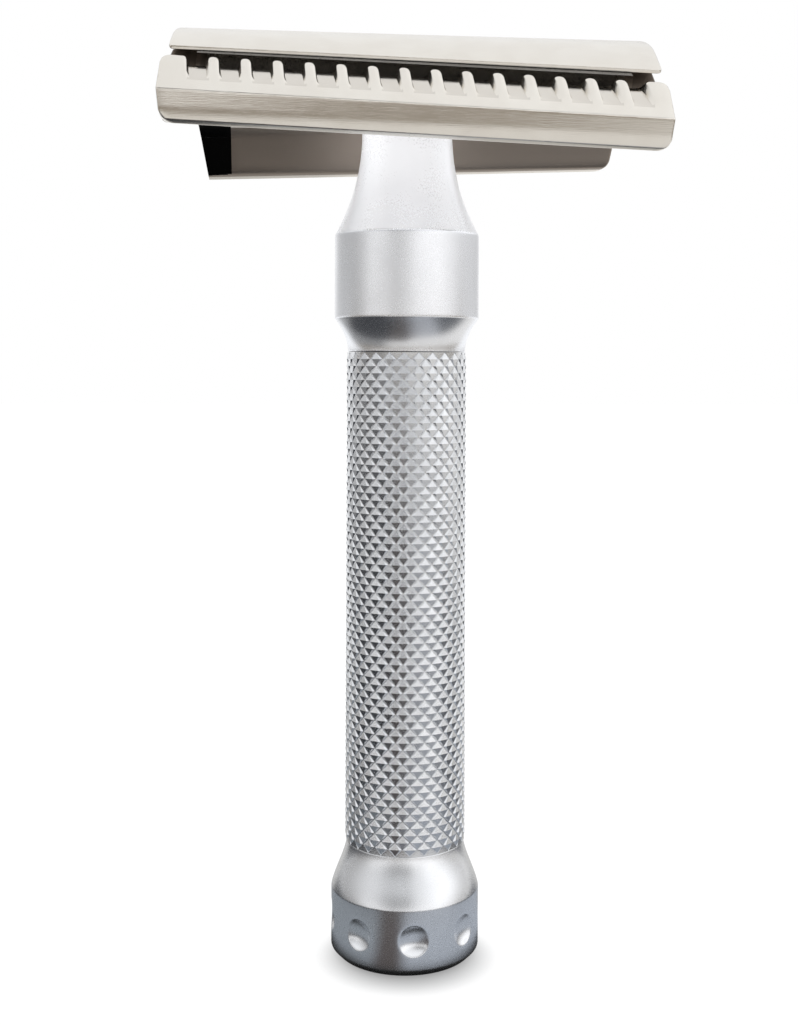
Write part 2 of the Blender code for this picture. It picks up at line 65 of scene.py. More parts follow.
def add_piece(name, points, faces, sharp_over=SHARP_OVER):
    """A mesh from points in millimetres: doubles merged, faces outwards, edges over an angle sharp."""
    mesh = bpy.data.meshes.new(name)
    mesh.from_pydata((points.reshape(-1, 3) * MM).tolist(), [], faces)
    shape = bmesh.new()
    shape.from_mesh(mesh)
    bmesh.ops.remove_doubles(shape, verts=shape.verts, dist=MERGE)
    bmesh.ops.recalc_face_normals(shape, faces=shape.faces)
    open_edges = sum(not edge.is_manifold for edge in shape.edges)
    shape.to_mesh(mesh)
    shape.free()
    mesh.shade_smooth()
    mesh.set_sharp_from_angle(angle=np.radians(sharp_over))
    piece = bpy.data.objects.new(name, mesh)
    bpy.context.scene.collection.objects.link(piece)
    mesh.calc_loop_triangles()
    print(f"{name}: {len(mesh.loop_triangles)} triangles, {open_edges} open edges")
    return piece


# %% [markdown]
# The handle is turned on a lathe, so its pieces are outlines of radius and height carried once round the
# axis. A lathe tool leaves a small radius on every edge. Rounding the corners of the outline does the
# same: a corner becomes a short parabola, and only corners that really turn are touched.

# %% Outlines for turned pieces
FULL_TURN = 2 * np.pi
SIDE_SHARE = 0.45
SAME_PLACE = 1e-6
NEAR_SHARE = 0.3


def soften(corners, cut, steps=4, least_turn=14.0):
    """Each sharp corner becomes a parabola that leaves the outline a cut before it and joins it after."""
    corners = np.asarray(corners, float)
    before, here, after = corners[:-2], corners[1:-1], corners[2:]
    ways = np.stack([before - here, after - here])
    lengths = np.linalg.norm(ways, axis=-1, keepdims=True)
    ways = ways / lengths
    sharp = (ways[0] * ways[1]).sum(-1, keepdims=True) > -np.cos(np.radians(least_turn))
    start, end = here + ways * np.minimum(cut, SIDE_SHARE * lengths) * sharp
    t = np.linspace(0, 1, steps + 1)[None, :, None]
    bends = (1 - t) ** 2 * start[:, None] + 2 * t * (1 - t) * here[:, None] + t ** 2 * end[:, None]
    outline = np.vstack([corners[:1], bends.reshape(-1, 2), corners[-1:]])
    moved = np.linalg.norm(np.diff(outline, axis=0), axis=1) > SAME_PLACE
    return outline[np.r_[True, moved]]


def lengths_along(chain):
    """Distance from the start of a chain to each of its points."""
    return np.r_[0, np.cumsum(np.linalg.norm(np.diff(chain, axis=0), axis=1))]


def at_lengths(places, lengths, chain):
    """Points of a chain at given distances from its start."""
    return np.stack([np.interp(places, lengths, chain[:, axis]) for axis in (0, 1)], axis=-1)


def refine(outline, step):
    """The same outline with points added along its length, so that they are about a step apart or less."""
    lengths = lengths_along(outline)
    extra = np.linspace(0, lengths[-1], int(lengths[-1] / step) + 1)
    far = np.abs(extra[:, None] - lengths[None]).min(1) > NEAR_SHARE * step
    return at_lengths(np.sort(np.r_[lengths, extra[far]]), lengths, outline)


def turned(outline, columns, dent=None):
    """Radius and height carried round: x = r cos a, y = r sin a. A dent may lower r by height and angle."""
    radius = np.repeat(outline[:, :1], columns, axis=1)
    height = np.repeat(outline[:, 1:], columns, axis=1)
    angle = np.arange(columns)[None] / columns * FULL_TURN
    if dent is not None:
        radius = radius - dent(radius, height, angle)
    return np.stack([radius * np.cos(angle), radius * np.sin(angle), height], axis=-1)


def add_turned(name, outline, columns, dent=None):
    """A piece made of one outline carried round the axis."""
    points = turned(outline, columns, dent)
    return add_piece(name, points, grid_faces(*points.shape[:2]).tolist())


# %% [markdown]
# The collar is one turned piece: a trumpet-shaped neck under the head, a plain collar, and a hollow flare
# that runs down to the knurl. Both curves are powers of the way along them, so that they leave their
# narrow end upright and meet the collar at an edge. Inside are the seat of the threaded insert and the
# rod's bore, and a spigot with a groove for the seal ring goes down into the grip.

# %% Neck and collar
COLLAR_RADIUS, NECK_RADIUS, FLARE_RADIUS = 6.73, 4.2, 5.48
NECK_TOP, TRUMPET_TOP, COLLAR_TOP, COLLAR_FOOT, FLARE_FOOT = 79.0, 76.5, 66.5, 58.75, 55.64
INSERT_BORE, INSERT_FLOOR = 3.45, 66.7
SPIGOT_RADIUS, SPIGOT_FOOT = 3.75, 52.6
GROOVE_RADIUS, GROOVE_FOOT, GROOVE_TOP = 3.25, 53.75, 54.45
ROD_BORE, ROD_BORE_TOP = 2.65, 64.0
COLLAR_EDGE, COLLAR_STEP, COLLAR_COLUMNS = 0.16, 0.5, 192


def hollow_flare(narrow, wide, power, steps):
    """Radius grows from the narrow to the wide end with a power of the way along; height grows evenly."""
    t = np.linspace(0, 1, steps + 1)[:, None]
    narrow, wide = np.asarray(narrow), np.asarray(wide)
    return narrow + (wide - narrow) * np.hstack([t ** power, t])


trumpet = hollow_flare((NECK_RADIUS, TRUMPET_TOP), (COLLAR_RADIUS, COLLAR_TOP), 2.2, 48)
flare = hollow_flare((FLARE_RADIUS, FLARE_FOOT), (COLLAR_RADIUS, COLLAR_FOOT), 2.0, 24)[::-1]
insert_seat = [(0, INSERT_FLOOR), (INSERT_BORE, INSERT_FLOOR),
               (INSERT_BORE, NECK_TOP), (NECK_RADIUS, NECK_TOP)]
collar_spigot = [(SPIGOT_RADIUS, FLARE_FOOT), (SPIGOT_RADIUS, GROOVE_TOP), (GROOVE_RADIUS, GROOVE_TOP),
                 (GROOVE_RADIUS, GROOVE_FOOT), (SPIGOT_RADIUS, GROOVE_FOOT), (SPIGOT_RADIUS, SPIGOT_FOOT)]
collar_bore = [(ROD_BORE, SPIGOT_FOOT), (ROD_BORE, ROD_BORE_TOP), (0, ROD_BORE_TOP)]
collar_corners = np.vstack([insert_seat, trumpet, flare, collar_spigot, collar_bore])
collar_outline = refine(soften(collar_corners, COLLAR_EDGE), COLLAR_STEP)
neck_collar = add_turned("collar_turned", collar_outline, COLLAR_COLUMNS)

# %% [markdown]
# Eight round dimples are milled into the side of the knob with a ball-nosed tool, so each dimple is the
# part of a ball that lies inside the cylinder. They could be cut with Boolean balls, but it is simpler to
# lower the turned surface by the ball's depth at each point. A small blend joins the ball to the side, so
# the edge of a dimple is soft and not torn.

# %% Dimples of the knob
KNOB_RADIUS = 6.85
DIMPLES, FIRST_DIMPLE = 8, np.radians(2.5 - 90)
DIMPLE_HEIGHT, DIMPLE_RADIUS, BALL_RADIUS = 3.3, 1.38, 2.1
BLEND, BLEND_REACH, ON_SIDE = 0.05, 0.25, 0.01


def dimple_depth(radius, height, angle):
    """Depth of a ball: its height that far from the dimple's middle, less its height at the rim."""
    pitch = FULL_TURN / DIMPLES
    turn = (angle - FIRST_DIMPLE + pitch / 2) % pitch - pitch / 2
    away = np.hypot(turn * KNOB_RADIUS, height - DIMPLE_HEIGHT)
    rim = np.sqrt(BALL_RADIUS ** 2 - DIMPLE_RADIUS ** 2)
    ball = np.sqrt(np.maximum(BALL_RADIUS ** 2 - away ** 2, 0)) - rim
    depth = (ball + np.sqrt(ball ** 2 + BLEND ** 2)) / 2
    return depth * (away < DIMPLE_RADIUS + BLEND_REACH) * (radius > KNOB_RADIUS - ON_SIDE)


# %% [markdown]
# The knob is turned to a chamfered foot, a plain band that takes the dimples, and a smooth shoulder up to
# the grip. The shoulder is a cubic, because its slope first grows and then eases. Only the band needs
# short steps, for the dimples, so the rest of the outline is left coarser.

# %% End knob
CHAMFER, BAND_TOP = 0.6, 5.4
SHOULDER_FOOT, SHOULDER_TOP, SHOULDER_DEPTH = 5.95, 10.27, 1.42
KNOB_GROOVE_FOOT, KNOB_GROOVE_TOP, KNOB_SPIGOT_TOP, KNOB_BORE_FLOOR = 11.15, 11.85, 13.0, 4.2
KNOB_EDGE, COARSE, FINE, KNOB_COLUMNS = 0.12, 0.6, 0.085, 448

way_up = np.linspace(0, 1, 40)
drawn_in = SHOULDER_DEPTH * (0.75 * way_up + 1.1 * way_up ** 2 - 0.85 * way_up ** 3)
shoulder_height = SHOULDER_FOOT + (SHOULDER_TOP - SHOULDER_FOOT) * way_up
shoulder = np.stack([KNOB_RADIUS - drawn_in, shoulder_height], axis=-1)
knob_foot = [(0, 0), (KNOB_RADIUS - CHAMFER, 0), (KNOB_RADIUS, CHAMFER)]
knob_spigot = [(SPIGOT_RADIUS, SHOULDER_TOP), (SPIGOT_RADIUS, KNOB_GROOVE_FOOT),
               (GROOVE_RADIUS, KNOB_GROOVE_FOOT), (GROOVE_RADIUS, KNOB_GROOVE_TOP),
               (SPIGOT_RADIUS, KNOB_GROOVE_TOP), (SPIGOT_RADIUS, KNOB_SPIGOT_TOP)]
knob_bore = [(ROD_BORE, KNOB_SPIGOT_TOP), (ROD_BORE, KNOB_BORE_FLOOR), (0, KNOB_BORE_FLOOR)]
knob_outline = soften(np.vstack([knob_foot, shoulder, knob_spigot, knob_bore]), KNOB_EDGE)
on_band = (knob_outline[:, 0] > KNOB_RADIUS - SAME_PLACE) & (knob_outline[:, 1] < BAND_TOP)
band = np.flatnonzero(on_band)[-1]
knob_outline = np.vstack([
    refine(knob_outline[:band], COARSE),
    refine(knob_outline[band:band + 2], FINE),
    refine(knob_outline[band + 2:], COARSE),
])
end_knob = add_turned("knob_turned", knob_outline, KNOB_COLUMNS, dimple_depth)

# %% [markdown]
# The grip is knurled: two hardened wheels press crossing grooves into the bar and leave staggered rows of
# small pyramids, each with a short level ridge. A bump map would do from afar, but the pyramids show on
# the outline, so they are modelled. One pyramid is a patch of ten points: the two ends of its ridge, the
# four corners of its foot, and the four corners of the flat groove round it.

# %% One pyramid of the knurl
AROUND, ALONG = 52, 71
CREST, ROOT, RIM = 5.6, 5.455, 5.53
RIDGE, GROOVE = 0.62, 0.06
SLEEVE_FOOT, SLEEVE_TOP, SLEEVE_BORE = 10.3, 55.6, 3.9
KNURL_SHARP_OVER = 12.0

compass = np.array([(1, 0), (0, 1), (-1, 0), (0, -1)])
patch = np.vstack([[(RIDGE, 0), (-RIDGE, 0)], compass * (1 - GROOVE), compass])
patch_radius = np.repeat([CREST, ROOT], [2, 8])
upper_flanks = np.array([(0, 3, 1), (0, 2, 3), (1, 3, 4)])
lower_flanks = np.array([(1, 5, 0), (1, 4, 5), (0, 5, 2)])
upper_groove = np.array([(2, 6, 7, 3), (3, 7, 8, 4)])
lower_groove = np.array([(4, 8, 9, 5), (5, 9, 6, 2)])
print("one pyramid:", len(patch), "points,", round(CREST - ROOT, 3), "mm high")

# %% [markdown]
# The patch is laid at every second place of a lattice that counts half pyramids round and along the grip,
# and neighbours share their grooves. Places on an end have room for half a pyramid only. Their end points
# lie on a plain rim between crest and root, so the whole pyramids next to them give the ragged edge of a
# knurl. The same rim is carried round to the bore, which closes the sleeve.

# %% Knurled grip
def on_grip(around, along, radius):
    """Points from places in half pyramids: angle and height grow evenly, up to the ends."""
    along = np.clip(along, 0, ALONG)
    height = SLEEVE_FOOT + (SLEEVE_TOP - SLEEVE_FOOT) * along / ALONG
    angle = around / AROUND * FULL_TURN
    return np.stack([radius * np.cos(angle), radius * np.sin(angle), height], axis=-1)


round_place, along_place = np.meshgrid(np.arange(AROUND), np.arange(ALONG + 1))
kept = (round_place + along_place) % 2 == 0
middles = np.stack([round_place[kept], along_place[kept]], axis=-1)
places = (middles[:, None] + patch).reshape(-1, 2)
on_end = np.isin(np.clip(places[:, 1], 0, ALONG), (0, ALONG))
knurl_points = on_grip(*places.T, np.where(on_end, RIM, np.tile(patch_radius, len(middles))))
first_point = len(patch) * np.arange(len(middles))[:, None, None]
has_upper, has_lower = first_point[middles[:, 1] < ALONG], first_point[middles[:, 1] > 0]
flanks = np.concatenate([upper_flanks + has_upper, lower_flanks + has_lower]).reshape(-1, 3)
grooves = np.concatenate([upper_groove + has_upper, lower_groove + has_lower]).reshape(-1, 4)

edge = (np.arange(0, AROUND, 2)[:, None] + [-1, -1 + GROOVE, -RIDGE, RIDGE, 1 - GROOVE]).ravel()
rings = np.stack([on_grip(edge + along % 2, along + 0 * edge, np.full(edge.size, radius))
                  for along, radius in ((0, RIM), (0, SLEEVE_BORE), (ALONG, SLEEVE_BORE), (ALONG, RIM))])
ring_faces = grid_faces(*rings.shape[:2]) + len(knurl_points)
sleeve_points = np.vstack([knurl_points, rings.reshape(-1, 3)])
sleeve_faces = flanks.tolist() + grooves.tolist() + ring_faces.tolist()
grip_sleeve = add_piece("grip_knurled", sleeve_points, sleeve_faces, KNURL_SHARP_OVER)

# %% [markdown]
# The head is twisted: every section across it is turned about the line along the head, by an angle that
# grows evenly along it. A twist modifier could do this, but a formula keeps every point exact. So a
# section is drawn straight, carried along the head, and turned at the end. The turn is about the seat
# where the plate meets the neck.

# %% The twist of the head
SEAT = 79.0
TWIST = 0.0031
HALF_LENGTH = 22.0


def twisted(along, across, height):
    """Points from places along, across to the front and above the seat, turned by twist times along."""
    turn = TWIST * along
    y = -across
    return np.stack([along, y * np.cos(turn) - height * np.sin(turn),
                     y * np.sin(turn) + height * np.cos(turn) + SEAT], axis=-1)


def crown_height(across, top, radius):
    """A round crown: its top less what the circle falls by at that distance across."""
    return top - radius + np.sqrt(radius ** 2 - across ** 2)


print("twist from end to end:", round(np.degrees(2 * HALF_LENGTH * TWIST), 1), "degrees")

# %% [markdown]
# The underside of the comb plate is one flowing curve. It is drawn through a few knots, much as a bent
# strip of wood would run through them. To match it to the upper side, some points of both are paired by
# their place, so there is also a way to find the point of a chain that lies nearest to a mark.

# %% Curves for a section
def smooth_chain(knots, steps):
    """A smooth curve through knots: between two knots it also follows the slope of their neighbours."""
    knots = np.asarray(knots, float)
    ends = np.vstack([2 * knots[:1] - knots[1:2], knots, 2 * knots[-1:] - knots[-2:-1]])
    p0, p1, p2, p3 = ends[:-3, None], ends[1:-2, None], ends[2:-1, None], ends[3:, None]
    t = np.linspace(0, 1, steps, endpoint=False)[None, :, None]
    curve = 0.5 * (2 * p1 + (p2 - p0) * t + (2 * p0 - 5 * p1 + 4 * p2 - p3) * t ** 2
                   + (3 * p1 - p0 - 3 * p2 + p3) * t ** 3)
    return np.vstack([curve.reshape(-1, 2), knots[-1:]])


def nearest(chain, marks):
    """For each mark, the number of the chain's point that lies nearest to it."""
    return [np.linalg.norm(chain - mark, axis=1).argmin() for mark in marks]


# %% [markdown]
# The comb plate's section starts on the crowned bed under the blade, drops into a trough, rises over the
# teeth, and folds at a crease into a rounded bar. It is drawn as two chains from the middle of the head
# to the bottom of the bar, one above and one below, with matching points, so the end of the plate can be
# closed like the rungs of a ladder.

# %% Section of the comb plate
BED_EDGE, BED_TOP, BED_RADIUS, UNDERSIDE = 8.2, 3.63, 23.85, 0.3
FACE_POINTS = 4
slot_inner, slot_outer = np.array((10.13, 0.30)), np.array((12.78, -1.62))
trough_floor, tooth_tip = (9.6, -0.3), (11.42, 0.8)
crease, bar_tip = np.array((13.2, -2.5)), np.array((11.6, -5.08))

bed_across = np.linspace(0, BED_EDGE, 14)
bed = np.stack([bed_across, crown_height(bed_across, BED_TOP, BED_RADIUS)], axis=-1)
slot_floor = soften([slot_inner, (11.0, 0.02), (11.55, -0.39), slot_outer], 0.3, 6, 5.0)
trough = soften([bed[-1], (8.75, 0.2), (9.1, -0.2), trough_floor, slot_inner], 0.2, 3)
tooth = [slot_inner, (10.7, 0.46), (11.15, 0.72), tooth_tip, (11.72, 0.62), slot_outer]
tooth = refine(soften(tooth, 0.16, 4, 5.0), 0.35)
bar = soften([crease, (12.90, -4.2), (12.66, -5.02)], 0.36, 6, 4.0)
bar = refine(soften(np.vstack([bar, [(12.2, -5.25), bar_tip]]), 0.08, 3, 20.0), 0.3)
face = refine(soften(np.vstack([[slot_outer], bar[:FACE_POINTS]]), 0.14, 5), 0.4)
upper = np.vstack([bed, trough[1:], tooth[1:], face[1:], bar[FACE_POINTS:]])
under = smooth_chain([(0, UNDERSIDE), (2.7, UNDERSIDE), (5.2, UNDERSIDE), (6.6, 0.05), (7.7, -0.5),
                      (8.4, -0.9), (8.95, -1.4), (9.55, -2.4), (10.15, -3.5), (10.65, -4.45), (11.0, -4.9),
                      bar_tip], 8)

upper_marks = nearest(upper, [(0, BED_TOP), bed[-1], trough_floor, tooth_tip, crease, bar_tip])
under_marks = nearest(under, [(0, UNDERSIDE), (7.7, -0.5), (8.4, -0.9), (8.95, -1.4), (10.15, -3.5),
                              bar_tip])
upper_length, under_length = lengths_along(upper), lengths_along(under)
matched = np.interp(upper_length, upper_length[upper_marks], under_length[under_marks])
under = at_lengths(matched, under_length, under)
chain = np.vstack([upper, under[-2::-1]])
rungs = len(upper)
print("comb plate section:", len(chain), "points")

# %% [markdown]
# Fifteen slots are milled through each comb. Between the same two ends on the section, a slot is a low
# sloping floor, and a tooth is the full curve. A share carries the floor up to the tooth: nothing in the
# slot, most of the way up its wall, and the rest over the rounded corner of the tooth. So the comb needs
# no Boolean cuts, and its corners stay clean. Two more stations divide each outermost slot.

# %% Teeth and slots along the comb
SLOTS, PITCH, SLOT_HALF = 15, 2.68, 0.90
TOOTH_STEPS = np.array([0.0, 0.725, SLOT_HALF, 0.93, 1.0, 1.12, PITCH / 2])
LAST_SLOT_STEPS = np.array([18.87, 18.95])
WALL_SHARE, DOME = 0.70, 0.40

tooth_start = len(bed) + len(trough) - 2
on_tooth = slice(tooth_start, tooth_start + len(tooth))
tooth_length, floor_length = lengths_along(chain[on_tooth]), lengths_along(slot_floor)
floor_places = tooth_length / tooth_length[-1] * floor_length[-1]
slot_chain = chain.copy()
slot_chain[on_tooth] = at_lengths(floor_places, floor_length, slot_floor)

slot_middles = (np.arange(SLOTS) - (SLOTS - 1) / 2) * PITCH
mirrored_steps = np.r_[-TOOTH_STEPS[::-1], TOOTH_STEPS[1:]]
stations = np.unique(np.round(slot_middles[:, None] + mirrored_steps, 6))[1:-1]
stations = np.sort(np.r_[stations, -LAST_SLOT_STEPS, LAST_SLOT_STEPS])
from_middle = np.abs(stations[:, None] - slot_middles).min(1)
over_corner = np.clip((from_middle - SLOT_HALF) / DOME, 0, 1)
on_wall = WALL_SHARE + (1 - WALL_SHARE) * np.sqrt(1 - (1 - over_corner) ** 2)
share = np.where(from_middle < SLOT_HALF - 0.01, 0, on_wall)
print("comb stations:", len(stations))

# %% [markdown]
# Seen from the front, the ends of the plate lean in above and below the crease and have round corners, so
# the half length is a function of the height. On one end of each bar the inner side is cut away at a
# slant, and the cut is a plane in the same terms: a distance across that depends on the length and the
# height.

# %% Ends of the comb plate
PLATE_TOP, PLATE_BOTTOM = 0.8, -5.25
LEAN_ABOVE, LEAN_BELOW = -0.08, 0.10
TOP_ROUND, BOTTOM_ROUND = (0.8, 0.85), 1.1
BED_REACH, BED_FADE = 21.1, 0.7
CUT_START, CUT_TOP = 16.8, -1.6
CUT_ACROSS, CUT_HEIGHT, CUT_SLOPE, CUT_RUN = 9.55, -2.4, 0.55, 0.08


def corner_loss(into, size):
    """What a round corner takes off: its size less the circle's width at that distance into the corner."""
    into = np.clip(into, 0, size)
    return size - np.sqrt(size ** 2 - into ** 2)


def end_reach(height, top_round):
    """Half length of the plate: full at the crease, less above and below it, with round corners.

    Above the teeth it eases to the shorter half length of the bed.
    """
    above = height - crease[1]
    reach = HALF_LENGTH + above * np.where(above > 0, LEAN_ABOVE, LEAN_BELOW)
    reach = reach - corner_loss(height - PLATE_TOP + top_round, top_round)
    reach = reach - corner_loss(PLATE_BOTTOM + BOTTOM_ROUND - height, BOTTOM_ROUND)
    on_bed = np.clip((height - PLATE_TOP) / BED_FADE, 0, 1)
    return reach + (BED_REACH - reach) * on_bed


def cut_across(along, height):
    """The cutting plane of a bar's end: it starts on the bar's sloping inner side and runs out along it."""
    return CUT_ACROSS - CUT_SLOPE * (height - CUT_HEIGHT) + (along - CUT_START) * CUT_RUN


print("half length at the crease:", end_reach(crease[1], TOP_ROUND[0]), "mm")

# %% [markdown]
# Half of the plate is one grid of sections, from end to end. The last rows of the grid go from the
# outermost slot to the end and draw the section in a little towards its own middle line, along a quarter
# circle, which rounds the edge. The teeth lean along the head: a point moves along by its distance
# across. At the cut end the surface is pushed out to the cutting plane.

# %% Half of the comb plate
EDGE_ROUND, EDGE_ROWS = 0.22, 5
LEAN, LEAN_GAIN, LEAN_PIVOT = 0.25, 0.12 / 19, 11.0
LEAN_FADE = 1.4
BAR_HEART = (13.1, -3.0)
DEPTH_SHARE = 0.7


def end_rows():
    """Side, way to the end and swing round its edge for every row: two in-between rows, then the edge."""
    way = np.r_[1 / 3, 2 / 3, np.ones(EDGE_ROWS)]
    swing = np.r_[0, 0, np.linspace(0, np.pi / 2, EDGE_ROWS)]
    combed = np.zeros(stations.size)
    side = np.r_[-np.ones(way.size), combed, np.ones(way.size)]
    return side[:, None], np.r_[way[::-1], combed, way][:, None], np.r_[swing[::-1], combed, swing][:, None]


def drawn_in_section(section, swing):
    """The section moved to its middle line by the edge's radius less its cosine part, never all the way."""
    spine = (section + section[:, ::-1]) / 2
    numbers = np.arange(len(chain))
    spine = spine[:, np.minimum(np.minimum(numbers, numbers[::-1]), nearest(chain, [BAR_HEART])[0])]
    inward = spine - section
    depth = np.linalg.norm(inward, axis=-1, keepdims=True)
    inset = EDGE_ROUND * (1 - np.cos(swing))[..., None]
    return section + inward / np.maximum(depth, SAME_PLACE) * np.minimum(inset, DEPTH_SHARE * depth)


def half_plate():
    """The front half, untwisted: sections blended from slot to tooth, leant, carried out and cut."""
    side, way, swing = end_rows()
    each_row = np.clip(np.arange(side.size) - (side.size - stations.size) // 2, 0, stations.size - 1)
    station, blend = stations[each_row][:, None], share[each_row][:, None]
    blend = blend + (1 - blend) * way
    section = drawn_in_section(slot_chain + (chain - slot_chain) * blend[..., None], swing)
    across, height = section[..., 0], section[..., 1]

    on_top = np.arange(len(chain)) < rungs
    fade = np.clip((across - BED_EDGE) / LEAN_FADE, 0, 1) * np.clip(height - crease[1], 0, 1) * on_top
    along = station + (LEAN + LEAN_GAIN * station) * (across - LEAN_PIVOT) * fade
    reach = end_reach(height, np.where(side < 0, *TOP_ROUND)) - EDGE_ROUND * (1 - np.sin(swing))
    along = along + (side * reach - along) * way

    under_bar = ~on_top & (height < CUT_TOP) & (along > CUT_START)
    across = np.where(under_bar, np.maximum(across, cut_across(along, height)), across)
    return along, across, height


along, across, height = half_plate()
print("half of the comb plate:", along.shape[0], "rows of", along.shape[1], "points")

# %% [markdown]
# The rear half is the front half turned half round the handle. Its bar ends two millimetres short on the
# left of the picture, with a slightly leaning end, so points past that end are brought back to it. The
# two halves share the points on the middle line, and rungs between the upper and the lower chain close
# both ends.

# %% Comb plate
SHORT_END, SHORT_LEAN = 20.05, 0.18
BAR_INNER, BAR_TOP = 8.3, 0.4

front = twisted(along, across, height)
on_bar = (across > BAR_INNER) | (height < BAR_TOP)
short_end = np.where(on_bar, SHORT_END + SHORT_LEAN * height, HALF_LENGTH)
rear = twisted(np.minimum(along, short_end), across, height)[::-1] * np.array([-1, -1, 1])
plate_points = np.concatenate([front, rear[:, -2:0:-1]], axis=1)
plate_rows, plate_columns = plate_points.shape[:2]
walls = grid_faces(plate_rows, plate_columns)
rung = np.arange(rungs - 2)
mate = len(chain) - 1 - rung
ladder = np.stack([rung, rung + 1, mate - 1, mate], axis=-1)
tip = np.array([[rungs - 2, rungs - 1, rungs]])


def on_both_ends(faces):
    """Faces of one end of the front half, repeated on the rear half and on the other end."""
    halves = np.vstack([faces, (plate_columns - faces) % plate_columns])
    return np.vstack([halves, halves + (plate_rows - 1) * plate_columns]).tolist()


plate_faces = walls.tolist() + on_both_ends(ladder) + on_both_ends(tip)
base_plate = add_piece("comb_plate", plate_points, plate_faces)

# %% [markdown]
# The stud of the cap goes through a hole in the middle of the plate, and its two pins through holes near
# the ends. A drill makes them: each drill is a turned cylinder, taken away from the plate as a Boolean
# difference, which suits a few round holes in a surface that is already closed.

# %% Drill the plate
STUD_HOLE, PIN_HOLE, PIN_REACH = 2.75, 1.5, 15.0
DRILL_FOOT, DRILL_TOP, DRILL_COLUMNS = SEAT - 3, SEAT + 7, 48


def drill(piece, along, radius):
    """A round hole along an upright line: the piece less a cylinder longer than the piece is thick."""
    outline = np.array([(0, DRILL_FOOT), (radius, DRILL_FOOT), (radius, DRILL_TOP), (0, DRILL_TOP)])
    points = turned(outline, DRILL_COLUMNS) + (along, 0, 0)
    bit = add_piece("drill", points, grid_faces(*points.shape[:2]).tolist())
    cut = piece.modifiers.new("hole", "BOOLEAN")
    cut.operation, cut.solver, cut.object = "DIFFERENCE", "EXACT", bit
    bpy.context.view_layer.update()
    drilled = bpy.data.meshes.new_from_object(piece.evaluated_get(bpy.context.evaluated_depsgraph_get()))
    piece.modifiers.clear()
    piece.data = drilled
    bpy.data.objects.remove(bit)
    drilled.set_sharp_from_angle(angle=np.radians(SHARP_OVER))
    print("drilled at", along, "mm:", len(drilled.polygons), "faces")


for hole_place, hole_radius in ((0, STUD_HOLE), (-PIN_REACH, PIN_HOLE), (PIN_REACH, PIN_HOLE)):
    drill(base_plate, hole_place, hole_radius)

# %% [markdown]
# Shade is painted on the plate. The slanting cuts at the ends of the bars are painted black as shade, the
# trough takes painted shade that grows towards its ends, the inner sides of the bars take a painted brown
# reflection and are duller, and the slots take a little painted shade. One material can show all this if
# every face carries a number, from nothing for bare metal to one for black. The faces are found by their
# place in the straight section.

# %% Mark the faces with painted shade
face_middle = np.empty(3 * len(base_plate.data.polygons))
base_plate.data.polygons.foreach_get("center", face_middle)
middle_x, middle_y, middle_z = face_middle.reshape(-1, 3).T / MM
turn = TWIST * middle_x
straight_y = middle_y * np.cos(turn) + (middle_z - SEAT) * np.sin(turn)
straight_z = (middle_z - SEAT) * np.cos(turn) - middle_y * np.sin(turn)
from_axis, to_cut_end = np.abs(straight_y), -middle_x * np.sign(straight_y)


def within(value, low, high):
    """Whether each value lies between two limits."""
    return (value > low) & (value < high)


def close_to(curve, gap):
    """Whether each face lies within a gap above or below a curve of the section."""
    return np.abs(straight_z - np.interp(from_axis, *curve.T)) < gap


# All limits are in millimetres across the head and above the seat.
# Painted shade: the slanting cut at each bar end and the underside beside it are painted black.
on_cut = (straight_z < CUT_TOP + 0.25) & (np.abs(from_axis - cut_across(to_cut_end, straight_z)) < 0.12)
beside_cut = close_to(under, 0.3) & within(from_axis, 5.2, 10.5) & (straight_z < 0.25)
black = (to_cut_end > CUT_START) & (on_cut | beside_cut)
# Painted shade in the trough, faint in the middle and dark towards the ends.
recess = within(from_axis, 8.0, 10.2) & within(straight_z, -0.5, 2.3)
recess |= (np.abs(to_cut_end) > 18.8) & within(from_axis, 6.0, 9.6) & within(straight_z, -0.3, 2.6)
# A little painted shade on the slot floors; a painted brown reflection, with real dullness, on the bars'
# inner sides.
slots = within(from_axis, 10.2, 12.7) & close_to(slot_floor, 0.05)
inner_side = within(from_axis, BAR_INNER, 11.6) & (straight_z < -0.8)

# How much painted shade each kind of face takes.
BLACK, SLOT_SHADE, DULL_SIDE_SHADE = 1.0, 0.13, 0.42
recess_shade = np.interp(np.abs(to_cut_end), (17.4, 19.4), (0.03, 0.75))
darker = np.select([black, recess, slots, inner_side], [BLACK, recess_shade, SLOT_SHADE, DULL_SIDE_SHADE], 0.0)
mark = base_plate.data.attributes.new("painted_shade", "FLOAT", "FACE")
mark.data.foreach_set("value", darker)
print("black faces:", int(black.sum()), "faces with painted shade:", int((darker > 0).sum() - black.sum()))

# %% [markdown]
# The cap is pressed from thick sheet: a round top, a flatter hollow underside that bends the blade over
# the bed, and a thin lip between them. Its section is two arcs with softened lips, carried along the head
# in the same way as the plate's.

# %% Section of the cap
TOP_LIP, CAP_TOP, TOP_RADIUS = 10.1, 5.98, 14.75
UNDER_LIP, CAP_UNDER, UNDER_RADIUS = 10.0, 3.93, 23.35
MIDDLE_SHARE, MIDDLE_TOP, MIDDLE_RADIUS = 0.97, 5.0, 18.5
LIP_EDGE = 0.09

